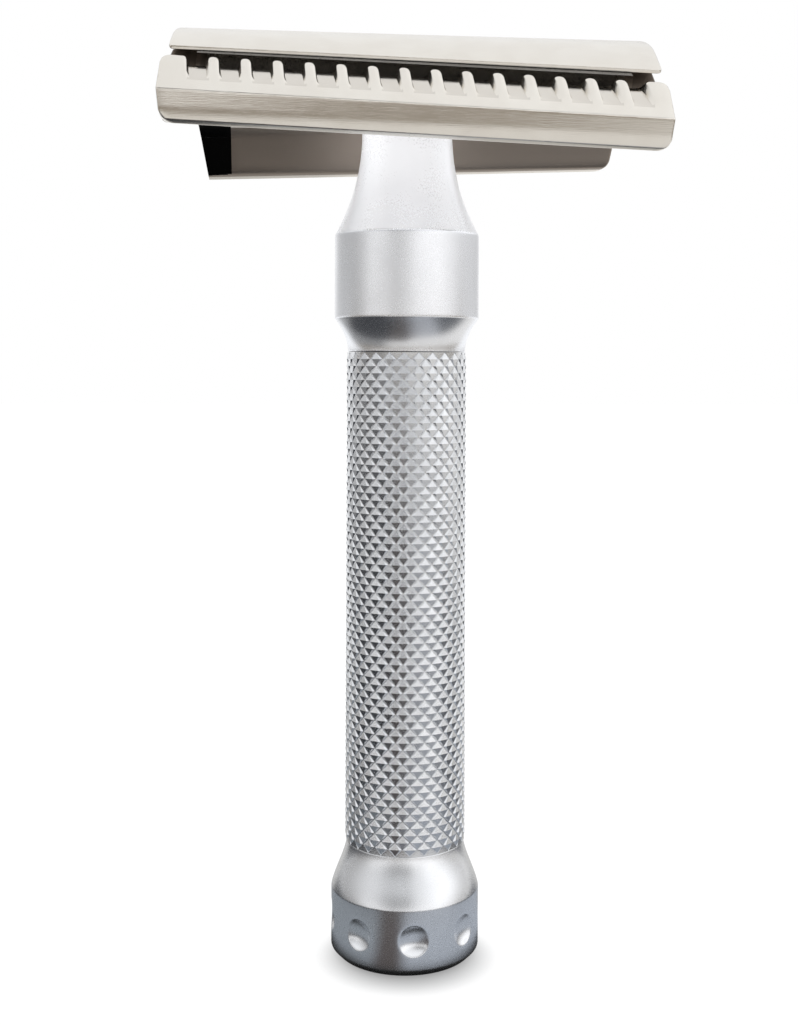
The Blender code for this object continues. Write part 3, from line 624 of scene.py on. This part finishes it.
from_lip_to_lip = np.linspace(-1, 1, 65)
top_across, under_across = TOP_LIP * np.sin(from_lip_to_lip * np.pi / 2), -UNDER_LIP * from_lip_to_lip
cap_top = np.stack([top_across, crown_height(top_across, CAP_TOP, TOP_RADIUS)], axis=-1)
cap_under = np.stack([under_across, crown_height(under_across, CAP_UNDER, UNDER_RADIUS)], axis=-1)
cap_section = np.vstack([cap_under[-1:], cap_top, cap_under, cap_top[:1]])
cap_section = soften(cap_section, LIP_EDGE, 3, 25.0)[1:-1]
middle_across = cap_section[:, 0] * MIDDLE_SHARE
cap_middle = np.stack([middle_across, crown_height(middle_across, MIDDLE_TOP, MIDDLE_RADIUS)], axis=-1)
print("cap section:", len(cap_section), "points")

# %% [markdown]
# In the front view the left end of the cap draws in towards the crown and the right end leans out, so the
# half length is again a function of the height. The last rows round the edge of each end as on the plate.

# %% Cap
CAP_ROWS, CAP_ROUND, CAP_INNER = 5, 0.3, 19.5
CAP_FOOT, CAP_RISE = 1.7, 4.3
CAP_LEFT, CAP_RIGHT = (21.2, 0.6), (21.48, 0.4)


def cap_reach(height, side):
    """Half length of the cap at a height: a length at the lip and a curve of its own up to the crown."""
    rise = np.clip((height - CAP_FOOT) / CAP_RISE, 0, 1)
    left = CAP_LEFT[0] - CAP_LEFT[1] * rise ** 4
    right = CAP_RIGHT[0] + CAP_RIGHT[1] * rise - CAP_RIGHT[1] * rise ** 12
    return np.where(side < 0, left, right)


cap_stations = np.linspace(-CAP_INNER, CAP_INNER, 40)
plain, cap_edge = np.zeros(cap_stations.size), np.linspace(0, np.pi / 2, CAP_ROWS)
cap_side = np.r_[-np.ones(CAP_ROWS), plain, np.ones(CAP_ROWS)][:, None]
cap_swing = np.r_[cap_edge[::-1], plain, cap_edge][:, None]
inward = cap_middle - cap_section
depth = np.linalg.norm(inward, axis=-1)
pulled = np.minimum(CAP_ROUND * (1 - np.cos(cap_swing)), DEPTH_SHARE * depth)
section = cap_section + inward / depth[:, None] * pulled[..., None]
to_end = cap_side * (cap_reach(section[..., 1], cap_side) - CAP_ROUND * (1 - np.sin(cap_swing)))
cap_along = np.where(cap_side == 0, np.pad(cap_stations, CAP_ROWS)[:, None], to_end)
cap_points = twisted(cap_along, section[..., 0], section[..., 1])
cap_numbers = np.arange(cap_along.size).reshape(cap_along.shape)
cap_ends = [cap_numbers[0].tolist(), cap_numbers[-1].tolist()]
top_cap = add_piece("cap_pressed", cap_points, grid_faces(*cap_along.shape).tolist() + cap_ends)

# %% [markdown]
# Each new piece moves with the CAD body of the piece it stands for, and hides that piece.

# %% Tie the pieces to the frame
for piece, node, body, slot in (
        (neck_collar, "neck_collar", "handle", "satin_aluminium"),
        (end_knob, "end_knob", "handle", "satin_aluminium"),
        (grip_sleeve, "grip_sleeve", "handle", "satin_aluminium"),
        (base_plate, "base_plate", "plate", "head_steel"),
        (top_cap, "top_cap", "cap", "head_steel")):
    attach(piece, body)
    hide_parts(node)
    print(piece.name, "stands for", node, "on the", body)

# %% [markdown]
# A finish is a small program of nodes. The class below lets it be written as sums: it wraps one socket,
# an operator on it adds a Math node, and one method adds a node of any other kind.

# %% Shader values
class Shade:
    """One socket of a node tree. Arithmetic on it adds Math nodes, and node() adds any other node."""

    def __init__(self, tree, socket=None):
        self.tree, self.socket = tree, socket

    def node(self, kind, inputs=None, output=0, **settings):
        """A node of one kind: its settings first, then each input as a number, a colour or a Shade."""
        made = self.tree.nodes.new("ShaderNode" + kind)
        for name, value in settings.items():
            setattr(made, name, value)
        for name, value in (inputs or {}).items():
            if isinstance(value, Shade):
                self.tree.links.new(value.socket, made.inputs[name])
            else:
                made.inputs[name].default_value = value
        return Shade(self.tree, made.outputs[output])

    def maths(self, operation, first, second):
        """A Math node on two numbers."""
        return self.node("Math", {0: first, 1: second}, operation=operation)

    def __add__(self, other):
        return self.maths("ADD", self, other)

    def __sub__(self, other):
        return self.maths("SUBTRACT", self, other)

    def __rsub__(self, other):
        return self.maths("SUBTRACT", other, self)

    def __mul__(self, other):
        return self.maths("MULTIPLY", self, other)

    __radd__, __rmul__ = __add__, __mul__

    def part(self, axis):
        """One of the three numbers of a vector."""
        return self.node("SeparateXYZ", {0: self}, output=axis)

    def smooth(self, low, high):
        """Nothing below low, one above high, and a smooth step between."""
        return self.node("MapRange", {"Value": self, "From Min": low, "From Max": high},
                         interpolation_type="SMOOTHSTEP")

    def colours(self, first, second):
        """The first colour where this value is nothing, the second where it is one."""
        inputs = {0: self}
        inputs[6], inputs[7] = (c if isinstance(c, Shade) else (*c, 1) for c in (first, second))
        return self.node("Mix", inputs, output=2, data_type="RGBA")


# %% [markdown]
# Bead-blasted aluminium is a fine even grain with faint clouds, which show more in the roughness than in
# the colour. The grain is a bump far smaller than the knurl. The steel of the head is brushed along its
# length, so its grain is noise stretched along x. The neck is frosted: above the collar it scatters light
# more like paint than like a mirror, so most of its metallic share is taken away there.

# %% Metal finishes
CLOUD_SPREAD = 0.08
SHADE_BROWN, SHADE_BLACK, DULL_ROUGHNESS = (0.30, 0.25, 0.21), (0.006, 0.006, 0.006), 0.22
MATT_BLEND, MATT_SHARE = (-0.1, 0.3), 0.8


def metal(name, colour, cloud_colour, roughness, spread, cloud_size, grain, bump,
          metallic=1.0, marked=None, matt_from=None):
    """A metal whose colour drifts between two with broad noise; roughness and bump follow a fine grain.

    A marked face takes painted shade: it turns brown and dull, then black. Above the height matt_from, the
    metal is frosted.
    """
    finish = bpy.data.materials.new(name)
    finish.use_nodes = True
    tree = finish.node_tree
    shader = tree.nodes["Principled BSDF"]
    shade = Shade(tree)
    place = shade.node("TexCoord", output="Object")
    clouds = shade.node("TexNoise", {"Vector": place, "Scale": 1 / (cloud_size * MM), "Detail": 3.0})
    stretched = shade.node("Mapping", {"Vector": place, "Scale": tuple(1 / (size * MM) for size in grain)})
    fine = shade.node("TexNoise", {"Vector": stretched, "Scale": 1.0, "Detail": 2.0})
    base = clouds.smooth(0.3, 0.7).colours(colour, cloud_colour)
    rough = roughness + (fine - 0.5) * spread + (clouds - 0.5) * CLOUD_SPREAD
    if marked:
        # The mark paints shade into the colour: brown first, then black.
        mark = shade.node("Attribute", output="Fac", attribute_name=marked)
        base = mark.smooth(0.0, 0.5).colours(base, SHADE_BROWN)
        base = mark.smooth(0.5, 1.0).colours(base, SHADE_BLACK)
        rough = rough + mark.smooth(0.15, 0.35) * DULL_ROUGHNESS
    height = shade.node("Bump", {"Height": fine, "Strength": 1.0, "Distance": bump * MM})
    tree.links.new(base.socket, shader.inputs["Base Color"])
    tree.links.new(rough.socket, shader.inputs["Roughness"])
    tree.links.new(height.socket, shader.inputs["Normal"])
    shader.inputs["Metallic"].default_value = metallic
    if matt_from:
        matt = place.part(2).smooth(*((matt_from + blend) * MM for blend in MATT_BLEND))
        tree.links.new((1 - matt * MATT_SHARE).socket, shader.inputs["Metallic"])
    return finish


blasted = metal("blasted_aluminium", (0.90, 0.91, 0.935), (0.86, 0.87, 0.895), roughness=0.26,
                spread=0.10, cloud_size=4.0, grain=(0.11, 0.11, 0.11), bump=0.003)
frosted = metal("frosted_aluminium", (0.90, 0.912, 0.945), (0.87, 0.883, 0.915), roughness=0.28,
                spread=0.06, cloud_size=4.0, grain=(0.11, 0.11, 0.11), bump=0.003, matt_from=66.42)
# The knurled aluminium is a darker copy of the blasted aluminium: painted shade for the grooves of the
# knurl.
knurled = metal("knurled_aluminium", (0.78, 0.79, 0.81), (0.72, 0.73, 0.75), roughness=0.25,
                spread=0.12, cloud_size=2.0, grain=(0.09, 0.09, 0.09), bump=0.010)
brushed = metal("brushed_head_steel", (0.795, 0.76, 0.703), (0.768, 0.729, 0.67), roughness=0.19,
                spread=0.08, cloud_size=3.0, grain=(1.6, 0.05, 0.05), bump=0.004, marked="painted_shade")
for piece, finish in ((neck_collar, frosted), (end_knob, blasted), (grip_sleeve, knurled),
                      (base_plate, brushed), (top_cap, brushed)):
    piece.data.materials.append(finish)
    print(piece.name, "is", finish.name)

# %% [markdown]
# The pieces that keep their CAD shape are small, and mostly hidden: the ground blade, the machined steel
# of the fastenings, and the rubber rings. They take finishes of the same kind, so that they hold up when
# the head is opened.

# %% Finishes of the CAD pieces
# The blade is far darker than steel: painted shade for the narrow gap under the cap, where it is seen.
ground = metal("ground_blade_steel", (0.19, 0.185, 0.18), (0.16, 0.155, 0.15), roughness=0.28,
               spread=0.12, cloud_size=2.0, grain=(0.05, 0.9, 0.05), bump=0.004)
machined = metal("machined_steel", (0.66, 0.66, 0.65), (0.58, 0.58, 0.57), roughness=0.30,
                 spread=0.12, cloud_size=2.5, grain=(0.5, 0.5, 0.05), bump=0.006)
rubber = metal("seal_rubber", (0.03, 0.03, 0.03), (0.05, 0.05, 0.05), roughness=0.6,
               spread=0.2, cloud_size=1.5, grain=(0.1, 0.1, 0.1), bump=0.01, metallic=0.0)
carried = {"blade": ground, "thread_insert": machined, "tie_rod": machined, "threaded_stud": machined,
           "locating_pin_left": machined, "locating_pin_right": machined,
           "seal_ring_lower": rubber, "seal_ring_upper": rubber}
for node, finish in carried.items():
    nodes[node].data.materials.clear()
    nodes[node].data.materials.append(finish)
    print(node, "is", finish.name)

# %% [markdown]
# The floor is a plain sheet, white to the camera. Metal shows what stands round it more than its own
# colour, so in reflections the floor shows a painted bench: the reflections that the metal takes are
# painted here. The bench is rings round the foot, and each ring has its own colours to the left, in front,
# to the right and behind; the ring nearest the foot is dark, a painted shadow. The rough metal blurs them
# into soft streaks.

# %% Bench that the metal sees
FLOOR_REACH = 1500.0
PALE, SWEEP, FOOT_SHADE = (0.40, 0.405, 0.41), (0.63, 0.62, 0.60), (0.03, 0.03, 0.03)
DARK_BROWN, FAR_BROWN = (0.095, 0.085, 0.082), (0.275, 0.233, 0.185)

corner = FLOOR_REACH * MM
floor_mesh = bpy.data.meshes.new("floor")
floor_corners = [(-corner, -corner, 0), (corner, -corner, 0), (corner, corner, 0), (-corner, corner, 0)]
floor_mesh.from_pydata(floor_corners, [], [(0, 1, 2, 3)])
floor = bpy.data.objects.new("floor", floor_mesh)
bpy.context.scene.collection.objects.link(floor)
pale_floor = bpy.data.materials.new("pale_floor")
pale_floor.use_nodes = True
floor_tree = pale_floor.node_tree
floor_tree.nodes.remove(floor_tree.nodes["Principled BSDF"])
shade = Shade(floor_tree)
place = shade.node("TexCoord", output="Object")
angle = shade.maths("ARCTAN2", place.part(0), place.part(1) * -1)
distance = shade.node("VectorMath", {0: place}, output=1, operation="LENGTH")


def ring(left, middle, right, back):
    """One ring of the bench: four colours by the angle round the foot, from the left round to the back."""
    colour = angle.smooth(-2.55, -2.20).colours(back, left)
    colour = angle.smooth(-0.80, -0.48).colours(colour, middle)
    colour = angle.smooth(-0.28, 0.04).colours(colour, right)
    return angle.smooth(2.05, 2.45).colours(colour, back)


def beyond(first, last):
    """Nothing nearer the foot than one radius in millimetres, and one past another."""
    return distance.smooth(first * MM, last * MM)


first_ring = ring((0.295, 0.32, 0.345), (0.10, 0.086, 0.082), (0.435, 0.465, 0.51), PALE)
lit_side = angle.smooth(-0.25, 0.50).colours(DARK_BROWN, (0.43, 0.44, 0.46))
lit_side = angle.smooth(0.92, 1.30).colours(lit_side, (0.12, 0.125, 0.135))
second_ring = ring((0.055, 0.057, 0.062), DARK_BROWN, lit_side, SWEEP)
bright_ring = angle.smooth(-1.0, -0.55).colours((0.28, 0.28, 0.28), (0.86, 0.84, 0.81))
nearer = angle.smooth(-0.25, 0.25) * (35 * MM)
# Nearest the foot the bench is painted dark: the foot's shadow as metal sees it.
bench = beyond(7.7, 10.1).colours(FOOT_SHADE, first_ring)
bench = beyond(20, 26).colours(bench, second_ring)
bench = (distance + nearer).smooth(105 * MM, 145 * MM).colours(bench, bright_ring)
bench = beyond(250, 330).colours(bench, FAR_BROWN)
print("bench:", len(floor_tree.nodes), "nodes")

# %% [markdown]
# The light path tells which rays meet the floor. Rays from the camera see white with a soft shadow round
# the foot: partly the real shadow on the grey floor, and partly a painted shadow in its glow, centred a
# little in front of the foot. First reflections see the bench, and later ones only its middle, so that
# hollows stay light.
# Rays from matt surfaces meet a glow, which lights the frosted neck under the head.

# %% Floor
CAMERA_GREY, PLAIN_WHITE = (0.22, 0.22, 0.22), (0.90, 0.90, 0.90)
SHADOW_GLOW, FLOOR_GLOW, BACK_GLOW, MATT_GLOW = 0.30, 0.57, 0.2, 2.6
PAINTED_SHADOW_MIDDLE = (0, -2.0 * MM, 0)

camera_ray = shade.node("LightPath", output="Is Camera Ray")
glossy_ray = shade.node("LightPath", output="Is Glossy Ray")
seen_in_metal = glossy_ray + shade.node("LightPath", output="Is Transmission Ray")
matt_ray = shade.node("LightPath", output="Is Diffuse Ray")
first_bounce = shade.maths("LESS_THAN", shade.node("LightPath", output="Ray Depth"), 1.5)
bench_seen = shade.maths("MAXIMUM", first_bounce, 1 - beyond(20, 30))
behind = place.part(1).smooth(80 * MM, 250 * MM)
floor_colour = (seen_in_metal * bench_seen * (1 - behind)).colours(PLAIN_WHITE, bench)
floor_colour = camera_ray.colours(floor_colour, CAMERA_GREY)
# Painted shadow: the camera's glow dips round a point 2 mm in front of the foot.
from_shadow = shade.node("VectorMath", {0: place, 1: PAINTED_SHADOW_MIDDLE}, output=1, operation="DISTANCE")
glow = camera_ray * (SHADOW_GLOW + from_shadow.smooth(4.3 * MM, 9.2 * MM) * FLOOR_GLOW)
glow = glow + seen_in_metal * behind * BACK_GLOW + matt_ray * MATT_GLOW
diffuse = shade.node("BsdfDiffuse", {"Color": floor_colour})
lift = shade.node("Emission", {"Color": (1, 1, 1, 1), "Strength": glow})
surface = shade.node("AddShader", {0: diffuse, 1: lift})
floor_tree.links.new(surface.socket, floor_tree.nodes["Material Output"].inputs["Surface"])
floor_mesh.materials.append(pale_floor)
print("floor:", len(floor_tree.nodes), "nodes")

# %% [markdown]
# The room is a soft dome. A ray that leaves the scene has only a direction, so the light of the room
# depends on the angle round and on the rise above the floor. Two shapes are enough to paint it: a window
# on one value, and a soft cone round a direction.

# %% Directions in the room
room = bpy.data.worlds.new("studio")
bpy.context.scene.world = room
room.use_nodes = True
room_tree = room.node_tree
background = room_tree.nodes["Background"]
dome = Shade(room_tree)
ray = dome.node("TexCoord", output="Generated")
azimuth = dome.maths("ARCTAN2", ray.part(0), ray.part(1) * -1)
rise = ray.part(2)


def between(value, low, full, still_full, high):
    """A window on a value: it opens from low to full and closes from still_full to high."""
    return value.smooth(low, full) * (1 - value.smooth(still_full, high))


def soft_light(azimuth, elevation, inner, outer):
    """One inside a cone round a direction, fading to nothing at its outer angle; all angles in degrees."""
    turn, lift, inner, outer = np.radians((azimuth, elevation, inner, outer))
    towards = (np.sin(turn) * np.cos(lift), -np.cos(turn) * np.cos(lift), np.sin(lift))
    likeness = dome.node("VectorMath", {0: ray, 1: towards}, output=1, operation="DOT_PRODUCT")
    return likeness.smooth(np.cos(outer), np.cos(inner))


print("room:", len(room_tree.nodes), "nodes for directions")

# %% [markdown]
# The dome is dim at the horizon and brighter above. Lamps would leave hard spots on the metal, so broad
# windows are painted on the dome instead: low ones, which upright metal shows, and middle ones, which
# metal that leans back shows. A dark patch stands in front, where the camera would be. The camera sees
# plain white behind the razor, and so does metal that looks straight back.

# %% Studio light
WARM, COOL, WHITE = (1.0, 0.99, 0.98), (0.98, 0.99, 1.0), (1, 1, 1)
HORIZON, OVERHEAD, SIDE_LIGHT = 0.62, 0.40, 0.10

low, middle = 1 - rise.smooth(0.08, 0.28), between(rise, 0.08, 0.28, 0.31, 0.42)
front_window, left_window = (-1.45, -1.10, 0.80, 1.10), (-1.45, -1.0, -0.75, -0.30)
right_window, right_wall = (-0.45, 0.30, 0.95, 1.65), (0.12, 0.75, 2.2, 2.7)
far_right = (0.9, 1.3, 2.2, 2.7)
dark_front, dark_corner = (-1.05, -0.40, -0.02, 0.26), (-2.6, -2.1, -1.75, -1.35)
lit = HORIZON + rise.smooth(0.15, 0.65) * OVERHEAD
for band_of_dome, edges, strength in (
        (low, front_window, 0.20), (low, left_window, 0.24), (low, right_window, 0.44),
        (middle, right_wall, 0.46), (middle, far_right, 0.14),
        (middle, dark_front, -0.53), (low, dark_corner, -0.16)):
    lit = lit + band_of_dome * between(azimuth, *edges) * strength
lit = lit + soft_light(75, 38, 15, 50) * SIDE_LIGHT
tint = rise.smooth(-0.1, 0.5).colours(WARM, COOL)

glossy_ray = dome.node("LightPath", output="Is Glossy Ray")
seen_in_metal = glossy_ray + dome.node("LightPath", output="Is Transmission Ray")
backdrop = ray.part(1).smooth(0.80, 0.97)
white = dome.node("LightPath", output="Is Camera Ray") + seen_in_metal * backdrop
room_tree.links.new(white.colours(tint, WHITE).socket, background.inputs["Color"])
room_tree.links.new((lit * (1 - white) + white).socket, background.inputs["Strength"])
print("room:", len(room_tree.nodes), "nodes with its light")

# %% [markdown]
# The camera stands close, a little to the left, level with the upper grip. The picture is taller than it
# is wide, and the lens is shifted down so that upright lines stay upright.

# %% Camera
AZIMUTH, DISTANCE, CAMERA_HEIGHT = np.radians(-4.7), 127.2, 55.0
SENSOR, FOCAL_LENGTH, SHIFT, ROLL = 36.0, 47.68, (-0.0073, -0.150), np.radians(-0.20)

lens = bpy.data.cameras.new("camera")
lens.sensor_width, lens.lens = SENSOR, FOCAL_LENGTH
lens.shift_x, lens.shift_y = SHIFT
lens.clip_start = 5 * MM
camera = bpy.data.objects.new("camera", lens)
camera.location = (np.sin(AZIMUTH) * DISTANCE * MM, -np.cos(AZIMUTH) * DISTANCE * MM, CAMERA_HEIGHT * MM)
camera.rotation_euler = (np.pi / 2, ROLL, AZIMUTH)
bpy.context.scene.collection.objects.link(camera)
bpy.context.scene.camera = camera
bpy.context.scene.view_settings.view_transform = "Standard"
print("camera at", [round(place / MM, 1) for place in camera.location], "mm")
